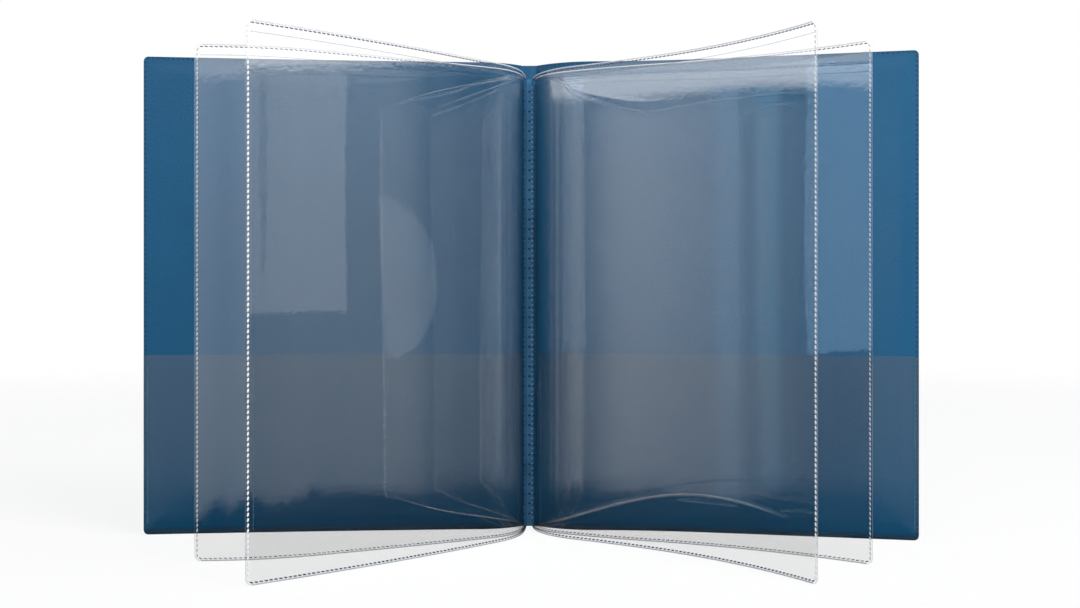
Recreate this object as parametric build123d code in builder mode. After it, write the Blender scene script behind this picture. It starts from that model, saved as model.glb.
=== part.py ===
from build123d import *
from collections import namedtuple
from math import cos, radians, sin
import os

# A display book of welded vinyl that stands open: a two-ply cover with a clear pocket
# inside each half, and four clear pocket leaves that are two folded double sheets.
# Millimetres and degrees. +X is the reader's right, +Z is up, and the book opens to -Y.

os.makedirs("parts", exist_ok=True)

# Sheet sizes. Widths run along the sheet from the middle of the spine to the fore edge.
COVER_WIDTH = 244.5
COVER_HEIGHT = 298.45
LEAF_WIDTH = 230.2
LEAF_HEIGHT = 289.5
POCKET_HEIGHT = 112.0
MOUTH_DROP = 6.0  # how far the front film of a leaf stops below its back film
COVER_CORNER = 3.0
LEAF_CORNER = 3.5

# Sheet thicknesses, and the room that is left for papers.
SKIN = 0.4
LINING = 0.4
FILM = 0.2
LEAF_ROOM = 0.2
POCKET_FILM = 0.25
POCKET_ROOM = 0.3

# Welds: the rim that closes a pocket, the pressed line on the cover, the bead on a leaf
# and the row of dots down the spine.
RIM = 3.0
WELD_INSET = 1.0
WELD_WIDTH = 1.2
WELD_DEPTH = 0.12
BEAD_RISE = 0.12
DOT_SIZE = 1.0
DOT_DEPTH = 0.2
DOT_PITCH = 6.35
DOT_TAPER = 30.0

# Folds at the spine.
SPINE_WIDTH = 7.2
FOLD_LENGTH = 2.0
LEAF_FOLD_RADIUS = 0.9  # at the back face, where a leaf turns forward out of the spine
INNER_REACH = 2.4  # from the middle of the spine to the back face of an inner leaf
ROOT_WELD = 6.0  # width of the welded root of a leaf or a pocket, before its room starts

# Clearances that let the sheets turn.
COVER_SLIT = 0.9
LEAF_SLIT = 0.6
POCKET_SLIT = 2.2
BEAD_START = 1.0  # how far a bead stays back from a slit

# Where each sheet turns, and the lengths of its bends, measured along it from the spine
# outward. The bows were read off the photograph.
LEFT_COVER_HINGE_DISTANCE = 24.0
LEFT_COVER_ROLL_LENGTH = 27.0
RIGHT_COVER_HINGE_DISTANCE = 22.0
RIGHT_COVER_ROLL_LENGTH = 39.0
RIGHT_COVER_SWEEP_LENGTH = 76.0
LEFT_INNER_HINGE_DISTANCE = 46.0
LEFT_INNER_ROLL_LENGTH = 25.0
LEFT_INNER_SWEEP_LENGTH = 30.0
RIGHT_INNER_HINGE_DISTANCE = 28.0
RIGHT_INNER_ROLL_LENGTH = 53.0
RIGHT_INNER_SWEEP_LENGTH = 56.0
LEFT_OUTER_HINGE_DISTANCE = 43.0
LEFT_OUTER_RISE_LENGTH = 14.0
LEFT_OUTER_ROLL_LENGTH = 34.0
LEFT_OUTER_SWEEP_LENGTH = 110.0
RIGHT_OUTER_HINGE_DISTANCE = 31.0
RIGHT_OUTER_RISE_LENGTH = 8.0
RIGHT_OUTER_ROLL_LENGTH = 27.0
RIGHT_OUTER_SWEEP_LENGTH = 56.0

# Sizes that follow.
LEAF = 2 * FILM + LEAF_ROOM
POCKET = POCKET_ROOM + POCKET_FILM
MOUTH = LEAF_HEIGHT - MOUTH_DROP
OUTER_REACH = INNER_REACH + LEAF
LEAF_TURN = (LEAF_FOLD_RADIUS * radians(90), 90)

# A sheet's path, seen from above, starts at the middle of the spine and runs outward.
# Each bend is a length and the angle by which it turns toward the reader on the way.
# The last bend takes up what is left of the width. `hinge` is where the sheet turns.
Path = namedtuple("Path", "side forward bends hinge")


def make_path(side, forward, width, hinge, bends, last_turn):
    rest = width - sum(length for length, turn in bends)
    return Path(side, forward, [*bends, (rest, last_turn)], hinge)


def inner_leaf(side, hinge, bends, last_turn):
    start = [(INNER_REACH - LEAF_FOLD_RADIUS, 0), LEAF_TURN]
    return make_path(side, LINING + LEAF, LEAF_WIDTH, hinge, start + bends, last_turn)


def outer_leaf(side, hinge, bends, last_turn):
    start = [(OUTER_REACH - LEAF_FOLD_RADIUS, 0), LEAF_TURN]
    return make_path(side, LINING, LEAF_WIDTH, hinge, start + bends, last_turn)


def cover(side, hinge, fold, bends, last_turn):
    start = [(SPINE_WIDTH / 2, 0), (FOLD_LENGTH, fold)]
    return make_path(side, 0, COVER_WIDTH, hinge, start + bends, last_turn)


# Left is side -1 and right is side 1.
COVERS = {
    "left": cover(-1, LEFT_COVER_HINGE_DISTANCE, 45, [(LEFT_COVER_ROLL_LENGTH, -41.5)], 3),
    "right": cover(
        1,
        RIGHT_COVER_HINGE_DISTANCE,
        42,
        [(RIGHT_COVER_ROLL_LENGTH, -40.5), (RIGHT_COVER_SWEEP_LENGTH, 10.5)],
        0,
    ),
}
LEAVES = {
    "left_inner": inner_leaf(
        -1,
        LEFT_INNER_HINGE_DISTANCE,
        [(LEFT_INNER_ROLL_LENGTH, -8.5), (LEFT_INNER_SWEEP_LENGTH, -34)],
        -9.5,
    ),
    "right_inner": inner_leaf(
        1,
        RIGHT_INNER_HINGE_DISTANCE,
        [(RIGHT_INNER_ROLL_LENGTH, -59), (RIGHT_INNER_SWEEP_LENGTH, 6.5)],
        25,
    ),
    "left_outer": outer_leaf(
        -1,
        LEFT_OUTER_HINGE_DISTANCE,
        [
            (LEFT_OUTER_RISE_LENGTH, -9.5),
            (LEFT_OUTER_ROLL_LENGTH, -51),
            (LEFT_OUTER_SWEEP_LENGTH, -3),
        ],
        -27.5,
    ),
    "right_outer": outer_leaf(
        1,
        RIGHT_OUTER_HINGE_DISTANCE,
        [
            (RIGHT_OUTER_RISE_LENGTH, -24),
            (RIGHT_OUTER_ROLL_LENGTH, -36.5),
            (RIGHT_OUTER_SWEEP_LENGTH, -10),
        ],
        21,
    ),
}


def ahead(out, forward, heading, length, turn):
    """The place and heading after one bend."""
    if turn:
        radius = length / radians(turn)
        new = heading + turn
        out += radius * (sin(radians(new)) - sin(radians(heading)))
        forward += radius * (cos(radians(heading)) - cos(radians(new)))
        return out, forward, new
    out += length * cos(radians(heading))
    forward += length * sin(radians(heading))
    return out, forward, heading


def pieces(path, begin, end):
    """The bends between two distances, each with the place and heading where it starts."""
    out, forward, heading, done = 0, path.forward, 0, 0
    for length, turn in path.bends:
        first = min(max(begin - done, 0), length)
        last = min(max(end - done, 0), length)
        if last > first:
            start = ahead(out, forward, heading, first, turn * first / length)
            yield start, last - first, turn * (last - first) / length
        out, forward, heading = ahead(out, forward, heading, length, turn)
        done += length


def place(path, out, forward, heading, offset):
    """The point on the ground that lies a given way in front of the path."""
    out -= offset * sin(radians(heading))
    forward += offset * cos(radians(heading))
    return (path.side * out, -forward)


def draw(path, offset, begin, end):
    """Draws the path at an offset in front of it, and gives back its two ends."""
    ends = []
    for start, length, turn in pieces(path, begin, end):
        heading = start[2]
        tangent = (path.side * cos(radians(heading)), -sin(radians(heading)))
        tail = place(path, *ahead(*start, length, turn), offset)
        head = place(path, *start, offset)
        if turn:
            radius = abs(length / radians(turn) - offset)
            JernArc(head, tangent, radius, -path.side * turn)
        else:
            Line(head, tail)
        ends += [head, tail]
    return ends[0], ends[-1]


def strip(path, back, front, begin, end, level=0):
    """The outline from above of a sheet between two offsets and two distances."""
    with BuildSketch(Plane.XY.offset(level)) as outline:
        with BuildLine():
            near = draw(path, back, begin, end)
            far = draw(path, front, begin, end)
            Line(near[0], far[0])
            Line(near[1], far[1])
        make_face()
    return outline.sketch


def sheet(path, layers, span, levels, mode=Mode.ADD):
    """A standing sheet between two offsets, two distances and two heights."""
    extrude(strip(path, *layers, *span, levels[0]), amount=levels[1] - levels[0], mode=mode)


def corner_edges(piece, path, middle, width, levels):
    """The short edges at the fore edge of a sheet, at the given heights."""
    *_, (start, length, turn) = pieces(path, 0, width)
    spot = place(path, *ahead(*start, length, turn), middle)
    return [piece.edges().sort_by_distance((*spot, level))[0] for level in levels]


def weld_lines(path, layers, begin, width, levels, mode, sides=("foot", "head")):
    """Weld lines along the fore edge and along the foot, the head or both."""
    low, high = levels[0] + WELD_INSET, levels[1] - WELD_INSET
    edge = width - WELD_INSET
    if "foot" in sides:
        sheet(path, layers, (begin, edge), (low, low + WELD_WIDTH), mode)
    if "head" in sides:
        sheet(path, layers, (begin, edge), (high - WELD_WIDTH, high), mode)
    sheet(path, layers, (edge - WELD_WIDTH, edge), (low, high), mode)


def hinge_place(path, offset):
    *_, (start, length, turn) = pieces(path, 0, path.hinge)
    return place(path, *ahead(*start, length, turn), offset)


def save(piece, name):
    piece.part.label = name
    export_step(piece.part, f"parts/{name}.step")


# Spine: the two plies of the cover between its hinges.
with BuildPart() as spine_skin:
    for path in COVERS.values():
        sheet(path, (-SKIN, 0), (0, path.hinge - COVER_SLIT / 2), (0, COVER_HEIGHT))
save(spine_skin, "spine_outer_skin")

with BuildPart() as spine_lining:
    for path in COVERS.values():
        sheet(path, (0, LINING), (0, path.hinge - COVER_SLIT / 2), (0, COVER_HEIGHT))
save(spine_lining, "spine_inner_lining")

# Roots of the leaves: both films of a double sheet, welded together in the spine, with
# the room for papers open toward the leaf and at the top.
for pair in ("outer", "inner"):
    with BuildPart() as root:
        for side in ("left", "right"):
            path = LEAVES[f"{side}_{pair}"]
            stop = path.hinge - LEAF_SLIT / 2
            sheet(path, (0, LEAF), (0, stop), (0, LEAF_HEIGHT))
        for side in ("left", "right"):
            path = LEAVES[f"{side}_{pair}"]
            stop = path.hinge - LEAF_SLIT / 2
            room = (FILM, FILM + LEAF_ROOM)
            sheet(path, room, (ROOT_WELD, stop), (RIM, LEAF_HEIGHT), Mode.SUBTRACT)
            cut = (FILM, LEAF)
            sheet(path, cut, (ROOT_WELD, stop), (MOUTH, LEAF_HEIGHT), Mode.SUBTRACT)
        if pair == "inner":
            # Only the front sheet shows the dots of the weld, which have eight flat sides.
            face = Plane((0, -LINING - 2 * LEAF, LEAF_HEIGHT / 2), (1, 0, 0), (0, -1, 0))
            dots = int((LEAF_HEIGHT - 2 * RIM) / DOT_PITCH)
            with BuildSketch(face):
                with GridLocations(DOT_PITCH, DOT_PITCH, 1, dots):
                    RegularPolygon(DOT_SIZE / 2, 8)
            extrude(amount=-DOT_DEPTH, taper=DOT_TAPER, mode=Mode.SUBTRACT)
    save(root, f"{pair}_leaf_spine")

# Cover halves.
for side, path in COVERS.items():
    span = (path.hinge + COVER_SLIT / 2, COVER_WIDTH)
    full = (0, COVER_HEIGHT)
    with BuildPart() as skin:
        sheet(path, (-SKIN, 0), span, full)
        fillet(corner_edges(skin, path, -SKIN / 2, COVER_WIDTH, full), COVER_CORNER)
        press = (-SKIN, WELD_DEPTH - SKIN)
        weld_lines(path, press, span[0] + BEAD_START, COVER_WIDTH, full, Mode.SUBTRACT)
    save(skin, f"{side}_cover_outer_skin")

    with BuildPart() as lining:
        sheet(path, (0, LINING), span, full)
        fillet(corner_edges(lining, path, LINING / 2, COVER_WIDTH, full), COVER_CORNER)
        press = (LINING - WELD_DEPTH, LINING)
        above = (POCKET_HEIGHT, COVER_HEIGHT)
        begin = span[0] + BEAD_START
        weld_lines(path, press, begin, COVER_WIDTH, above, Mode.SUBTRACT, ("head",))
    save(lining, f"{side}_cover_inner_lining")

    # The pocket's room is closed by its rim at the fore edge and the foot.
    front = LINING + POCKET
    room = (LINING, LINING + POCKET_ROOM)
    levels = (0, POCKET_HEIGHT)
    with BuildPart() as pocket:
        begin = path.hinge + POCKET_SLIT / 2
        sheet(path, (LINING, front), (begin, COVER_WIDTH), levels)
        middle = LINING + POCKET / 2
        fillet(corner_edges(pocket, path, middle, COVER_WIDTH, (0,)), COVER_CORNER)
        stop = COVER_WIDTH - RIM
        sheet(path, room, (begin, stop), (RIM, POCKET_HEIGHT), Mode.SUBTRACT)
        press = (front - WELD_DEPTH, front)
        begin += BEAD_START
        weld_lines(path, press, begin, COVER_WIDTH, levels, Mode.SUBTRACT, ("foot",))
    save(pocket, f"{side}_cover_pocket")

    with BuildPart() as pocket_root:
        begin = SPINE_WIDTH / 2 + FOLD_LENGTH + RIM
        stop = path.hinge - POCKET_SLIT / 2
        sheet(path, (LINING, front), (begin, stop), levels)
        sheet(path, room, (begin + RIM, stop), (RIM, POCKET_HEIGHT), Mode.SUBTRACT)
    save(pocket_root, f"{side}_pocket_root")

# Leaves: a full back film, and a front film that its rim joins to the back film at the
# fore edge and the foot.
for name, path in LEAVES.items():
    start = path.hinge + LEAF_SLIT / 2
    span = (start, LEAF_WIDTH)
    full = (0, LEAF_HEIGHT)
    below = (0, MOUTH)
    bead_from = start + BEAD_START
    with BuildPart() as back_film:
        sheet(path, (0, FILM), span, full)
        fillet(corner_edges(back_film, path, FILM / 2, LEAF_WIDTH, full), LEAF_CORNER)
        weld_lines(path, (-BEAD_RISE, 0), bead_from, LEAF_WIDTH, full, Mode.ADD)
        rise = (FILM, FILM + BEAD_RISE)
        head = (MOUTH, LEAF_HEIGHT)
        weld_lines(path, rise, bead_from, LEAF_WIDTH, head, Mode.ADD, ("head",))
    save(back_film, f"{name}_leaf_back_film")

    with BuildPart() as front_film:
        sheet(path, (FILM, LEAF), span, below)
        middle = FILM + LEAF_ROOM / 2
        fillet(corner_edges(front_film, path, middle, LEAF_WIDTH, (0,)), LEAF_CORNER)
        room = (FILM, FILM + LEAF_ROOM)
        sheet(path, room, (start, LEAF_WIDTH - RIM), (RIM, MOUTH), Mode.SUBTRACT)
        rise = (LEAF, LEAF + BEAD_RISE)
        weld_lines(path, rise, bead_from, LEAF_WIDTH, below, Mode.ADD, ("foot",))
    save(front_film, f"{name}_leaf_front_film")

# Where the hinges stand on the ground.
for side, path in COVERS.items():
    print(side, "cover hinge", hinge_place(path, 0))
for name, path in LEAVES.items():
    print(name, "leaf hinge", hinge_place(path, LEAF / 2))
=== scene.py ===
# %% [markdown]
# # A display book of welded clear vinyl
# The real book is made flat. Sheets of blue and clear vinyl are laid on each other, and a hot
# metal rule with a stitch pattern welds them together round the edge. Opened and stood up, the
# sheets bow like cards. This lesson rebuilds that: each sheet is one bowed surface that runs
# out of the spine, and the welds are small raised stitches along its edges.

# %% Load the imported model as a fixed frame
from collections import namedtuple
from math import atan, ceil, pi, radians

import bmesh
import bpy
import numpy as np
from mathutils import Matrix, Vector


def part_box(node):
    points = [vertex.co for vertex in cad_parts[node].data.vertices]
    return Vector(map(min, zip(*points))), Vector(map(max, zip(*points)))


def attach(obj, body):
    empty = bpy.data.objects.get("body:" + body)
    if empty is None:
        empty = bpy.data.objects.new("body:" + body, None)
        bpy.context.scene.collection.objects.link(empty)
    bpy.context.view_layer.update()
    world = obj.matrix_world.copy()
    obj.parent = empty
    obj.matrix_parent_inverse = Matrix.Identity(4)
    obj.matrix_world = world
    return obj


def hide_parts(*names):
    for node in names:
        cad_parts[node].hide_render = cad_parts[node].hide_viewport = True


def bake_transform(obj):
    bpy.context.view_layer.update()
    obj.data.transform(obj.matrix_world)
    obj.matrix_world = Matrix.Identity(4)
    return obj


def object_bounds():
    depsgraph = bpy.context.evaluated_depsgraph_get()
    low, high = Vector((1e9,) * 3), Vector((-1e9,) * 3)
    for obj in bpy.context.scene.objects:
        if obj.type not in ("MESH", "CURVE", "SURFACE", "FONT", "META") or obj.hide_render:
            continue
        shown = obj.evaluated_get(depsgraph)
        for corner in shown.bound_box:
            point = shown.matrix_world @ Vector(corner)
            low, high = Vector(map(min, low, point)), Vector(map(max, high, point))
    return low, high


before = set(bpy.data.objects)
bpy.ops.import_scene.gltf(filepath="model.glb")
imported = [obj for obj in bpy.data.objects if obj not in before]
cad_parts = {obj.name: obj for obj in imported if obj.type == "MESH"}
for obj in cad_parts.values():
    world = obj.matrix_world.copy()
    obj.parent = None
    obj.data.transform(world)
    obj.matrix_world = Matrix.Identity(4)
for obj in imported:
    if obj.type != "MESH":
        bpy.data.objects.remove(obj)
cad_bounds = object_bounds()
MM = 0.001
print("nodes:", len(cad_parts))

# %% [markdown]
# ## The sizes
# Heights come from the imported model, so a change there is followed here. Widths, thicknesses
# and the bows of the sheets are the part's own values, in millimetres.

# %% Sizes in millimetres


def node_height(node):
    low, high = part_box(node)
    return (high[2] - low[2]) / MM


COVER_HEIGHT = node_height("left_cover_outer_skin")
LEAF_HEIGHT = node_height("left_inner_leaf_back_film")
MOUTH_HEIGHT = node_height("left_inner_leaf_front_film")
POCKET_HEIGHT = node_height("left_cover_pocket")
COVER_WIDTH = 244.5
LEAF_WIDTH = 230.2
SKIN = 0.4
LINING = 0.4
FILM = 0.2
LEAF = 0.6
POCKET_FILM = 0.25
COVER_CORNER = 3.0
LEAF_CORNER = 3.5
SPINE_HALF = 3.6
print(f"cover {COVER_WIDTH} x {COVER_HEIGHT:.2f}, leaf {LEAF_WIDTH} x {LEAF_HEIGHT:.2f} mm")

# %% [markdown]
# ## The plan of a sheet
# Every sheet stands upright, so its shape is a single line seen from above. The line starts
# at the middle of the spine and is a chain of bends, each a length and the angle by which it
# turns toward the reader. Arcs that meet without a kink are how a bent card really looks, and
# they give every point an exact place and an exact front side.

# %% Plans of the covers and the leaves
Plan = namedtuple("Plan", "side forward width bends hinge")


def plan(side, forward, width, hinge, bends, last_turn):
    """A plan whose last bend takes up what is left of the width."""
    rest = width - sum(length for length, turn in bends)
    return Plan(side, forward, width, [*bends, (rest, last_turn)], hinge)


SQUARE_FOLD = (0.9 * pi / 2, 90)
INNER_ROOT = [(1.5, 0), SQUARE_FOLD]
OUTER_ROOT = [(2.1, 0), SQUARE_FOLD]
COVERS = {
    "left_cover": plan(-1, 0, COVER_WIDTH, 24, [(SPINE_HALF, 0), (2, 45), (27, -41.5)], 3),
    "right_cover": plan(
        1, 0, COVER_WIDTH, 22, [(SPINE_HALF, 0), (2, 42), (39, -40.5), (76, 10.5)], 0
    ),
}
INNER = LINING + LEAF
LEAVES = {
    "left_inner_leaf": plan(
        -1, INNER, LEAF_WIDTH, 46, [*INNER_ROOT, (25, -8.5), (30, -34)], -9.5
    ),
    "right_inner_leaf": plan(
        1, INNER, LEAF_WIDTH, 28, [*INNER_ROOT, (53, -59), (56, 6.5)], 25
    ),
    "left_outer_leaf": plan(
        -1, LINING, LEAF_WIDTH, 43, [*OUTER_ROOT, (14, -9.5), (34, -51), (110, -3)], -27.5
    ),
    "right_outer_leaf": plan(
        1, LINING, LEAF_WIDTH, 31, [*OUTER_ROOT, (8, -24), (27, -36.5), (56, -10)], 21
    ),
}


def along(sheet, distance):
    """How far out, how far forward and which way the sheet runs at each distance."""
    left = np.array(distance, float)
    out, heading = np.zeros_like(left), np.zeros_like(left)
    forward = np.full_like(left, sheet.forward)
    for length, turn in sheet.bends:
        step = np.clip(left, 0, length)
        left = left - step
        if turn:
            radius = length / radians(turn)
            new = heading + step / radius
            out = out + radius * (np.sin(new) - np.sin(heading))
            forward = forward + radius * (np.cos(heading) - np.cos(new))
            heading = new
        else:
            out = out + step * np.cos(heading)
            forward = forward + step * np.sin(heading)
    return out, forward, heading


def on_sheet(sheet, distance, height, offset):
    """Points in metres that stand a given offset in front of the sheet's own line."""
    out, forward, heading = along(sheet, distance)
    x = sheet.side * (out - offset * np.sin(heading))
    y = -(forward + offset * np.cos(heading))
    return np.stack(np.broadcast_arrays(x, y, height), -1) * MM


for name, sheet in {**COVERS, **LEAVES}.items():
    tip = on_sheet(sheet, sheet.width, 0, 0) / MM
    print(f"{name}: fore edge at x {tip[0]:.1f}, y {tip[1]:.1f} mm")

# %% [markdown]
# ## From a plan to a sheet of vinyl
# A sheet could be a plane with a Solidify modifier, but then both faces would have the same
# shape. Here a grid of points is laid out twice, once for the back and once for the front,
# and a rim closes it. Each face has its own offset, so a sheet can be pressed thin at a weld
# and be padded beside it. Rows and columns stand closer where the surface bends more.

# %% A closed sheet from two grids
SHARP_FROM = radians(40)


def spaced(*zones, stop):
    """Places from each zone's start on, at about that zone's spacing, as far as stop."""
    starts = [start for start, gap in zones] + [stop]
    places = []
    for (start, gap), end in zip(zones, starts[1:]):
        count = max(1, ceil((end - start) / gap))
        places += list(np.linspace(start, end, count, endpoint=False))
    return np.array(places + [stop])


def add_object(name, points, faces, materials):
    mesh = bpy.data.meshes.new(name)
    mesh.from_pydata(points.reshape(-1, 3).tolist(), [], faces)
    mesh.polygons.foreach_set("use_smooth", [True] * len(mesh.polygons))
    mesh.set_sharp_from_angle(angle=SHARP_FROM)
    for material in materials:
        mesh.materials.append(material)
    made = bpy.data.objects.new(name, mesh)
    bpy.context.collection.objects.link(made)
    return made


def round_corners(columns, rows, corner, rounded):
    """A grid of distances and heights whose fore edge has round corners."""
    distance, height = np.meshgrid(columns, rows, indexing="ij")
    inside = np.clip(corner - (columns[-1] - distance), 0, corner)
    drop = corner - np.sqrt(corner**2 - inside**2)
    low, high = rows[0], rows[-1]
    foot = low + (drop if "foot" in rounded else 0 * drop)
    head = high - (drop if "head" in rounded else 0 * drop)
    return distance, foot + (height - low) * (head - foot) / (high - low)


def closed_grid(name, back, front, side, materials):
    """A closed skin between two grids of points. Of three or more materials, the first three
    are for its front, its back and its cut edge."""
    wide, tall = front.shape[:2]
    number = np.arange(wide * tall).reshape(wide, tall)
    corners = number[:-1, :-1], number[1:, :-1], number[1:, 1:], number[:-1, 1:]
    front_faces = np.stack(corners, -1).reshape(-1, 4) + number.size
    back_faces = np.stack(corners[::-1], -1).reshape(-1, 4)
    ring = [*number[:, 0], *number[-1, 1:], *number[-2::-1, -1], *number[0, -2:0:-1]]
    ring = np.array(ring)
    after = np.roll(ring, -1)
    rim = np.stack([after + number.size, ring + number.size, ring, after], -1)
    faces = np.concatenate([back_faces, front_faces, rim])
    if side < 0:
        faces = faces[:, ::-1]
    made = add_object(name, np.stack([back, front]), faces.tolist(), materials)
    if len(materials) >= 3:
        slots = np.repeat([1, 0, 2], [len(back_faces), len(front_faces), len(rim)])
        made.data.polygons.foreach_set("material_index", slots)
    return made


def ease(value):
    """0 below 0, 1 above 1, and a smooth rise between them."""
    value = np.clip(value, 0, 1)
    return value * value * (3 - 2 * value)


print("rows that stand closer at the start:", spaced((0, 1), (2, 4), stop=10))

# %% [markdown]
# ## Colours and nodes
# Colours are written as the sRGB hex values that an eye or a picture gives, and the shaders
# want linear numbers, so one function turns one into the other. A second small function adds
# a node, sets it and links it, which keeps the materials below short.

# %% Helpers for materials


def linear(code):
    """A hex colour as the linear red, green, blue and alpha that a shader takes."""
    parts = [int(code[i : i + 2], 16) / 255 for i in (1, 3, 5)]
    return [v / 12.92 if v <= 0.04045 else ((v + 0.055) / 1.055) ** 2.4 for v in parts] + [1]


def add(tree, kind, inputs=None, **settings):
    """A new node with its settings, whose inputs are plain values or other nodes' outputs."""
    made = tree.nodes.new(kind)
    for name, value in settings.items():
        setattr(made, name, value)
    for socket, value in (inputs or {}).items():
        if isinstance(value, bpy.types.NodeSocket):
            tree.links.new(value, made.inputs[socket])
        else:
            made.inputs[socket].default_value = value
    return made


def new_material(name):
    material = bpy.data.materials.new(name)
    material.use_nodes = True
    material.node_tree.nodes.clear()
    return material, material.node_tree


def per_mm(size):
    """The texture scale at which one repeat of a pattern is this many millimetres wide."""
    return 1 / (size * MM)


print(f"middle grey is {linear('#808080')[0]:.3f} in linear light")

# %% [markdown]
# ## Blue vinyl
# The cover is calendered PVC: pigment is kneaded into the plastic, and a steel roller gives
# the sheet its skin, a fine pebble like a leather grain. That makes it satin, so lights show
# as broad soft patches. The grain could be geometry, but it is only a few hundredths of a
# millimetre deep, so bump from two noises is enough. The pebble is drawn a little coarser
# than the real half millimetre, because at the size of the picture it would not show. The
# lowest few millimetres, where the cover stands on the table, are painted darker as a painted
# shade. The welding rule presses the pigment closer, so the stitches are a darker blue.

# %% Material: embossed blue vinyl
CLOUD = 70
GRAIN = 1.3
GRAIN_DEPTH = 0.25
# Painted shade at the foot: it fades out between these heights in mm, and this is its strength.
FOOT_SHADE_FROM, FOOT_SHADE_TO, FOOT_SHADE_SHARE = 0.8, 5, 0.75


def blue_vinyl(name, deep, bright, grain):
    material, tree = new_material(name)
    where = add(tree, "ShaderNodeTexCoord").outputs["Object"]
    cloud = add(
        tree,
        "ShaderNodeTexNoise",
        {"Vector": where, "Scale": per_mm(CLOUD), "Detail": 3.0},
    )
    pebble = add(
        tree,
        "ShaderNodeTexVoronoi",
        {"Vector": where, "Scale": per_mm(grain), "Randomness": 0.9},
        feature="SMOOTH_F1",
    )
    dust = add(
        tree,
        "ShaderNodeTexNoise",
        {"Vector": where, "Scale": per_mm(0.7 * grain), "Detail": 4.0},
    )
    height = add(
        tree,
        "ShaderNodeMath",
        {0: pebble.outputs["Distance"], 1: dust.outputs["Fac"]},
        operation="ADD",
    )
    bump = add(
        tree,
        "ShaderNodeBump",
        {"Height": height.outputs[0], "Strength": 0.3, "Distance": GRAIN_DEPTH * MM},
    )
    colour = add(
        tree,
        "ShaderNodeMix",
        {"Factor": cloud.outputs["Fac"], "A": linear(deep), "B": linear(bright)},
        data_type="RGBA",
    )
    # Painted shade: near the foot the colour is mixed towards a dark blue.
    low = add(
        tree,
        "ShaderNodeMapRange",
        {
            "Value": add(tree, "ShaderNodeSeparateXYZ", {0: where}).outputs["Z"],
            "From Min": FOOT_SHADE_FROM * MM,
            "From Max": FOOT_SHADE_TO * MM,
            "To Min": FOOT_SHADE_SHARE,
            "To Max": 0.0,
        },
    )
    foot_shaded = add(
        tree,
        "ShaderNodeMix",
        {
            "Factor": low.outputs["Result"],
            "A": colour.outputs["Result"],
            "B": linear("#06212F"),
        },
        data_type="RGBA",
    )
    rough = add(
        tree,
        "ShaderNodeMapRange",
        {"Value": dust.outputs["Fac"], "To Min": 0.2, "To Max": 0.3},
    )
    skin = add(
        tree,
        "ShaderNodeBsdfPrincipled",
        {
            "Base Color": foot_shaded.outputs["Result"],
            "Roughness": rough.outputs["Result"],
            "IOR": 1.53,
            "Specular IOR Level": 0.3,
            "Normal": bump.outputs["Normal"],
        },
    )
    add(tree, "ShaderNodeOutputMaterial", {"Surface": skin.outputs["BSDF"]})
    return material


cover_vinyl = blue_vinyl("calendered blue vinyl", "#0C547C", "#11608A", GRAIN)
pressed_vinyl = blue_vinyl("pressed blue vinyl", "#083A57", "#0B4566", GRAIN)
print("made", cover_vinyl.name, "and", pressed_vinyl.name)

# %% [markdown]
# ## Clear film
# The leaves are polished PVC film. Nearly all light passes, and each face mirrors about four
# hundredths of what is in front of it, more at a glancing angle. Glass that bends light would
# keep the lamps from what lies behind, and a film this thin bends nothing, so the film mixes
# plain transparency with a mirror. The share of the mirror follows the angle of view by
# Schlick's rule. A faint ripple from the rollers makes the mirrored edges ragged. The front
# face mirrors for both faces, and the back face only lets light through, which is quicker.
# Where film is welded, pressed or cut it turns milky, which is a share of plain diffuse
# colour: blue where it is pressed into the spine. The white of the stitches and of the head
# flash is partly frosting and partly a painted glint. The teal of the pockets' rib is a painted
# glint, and the pale line of a crease is partly a painted highlight.

# %% A clear vinyl, from water clear to milky
SMUDGE = 26


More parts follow.
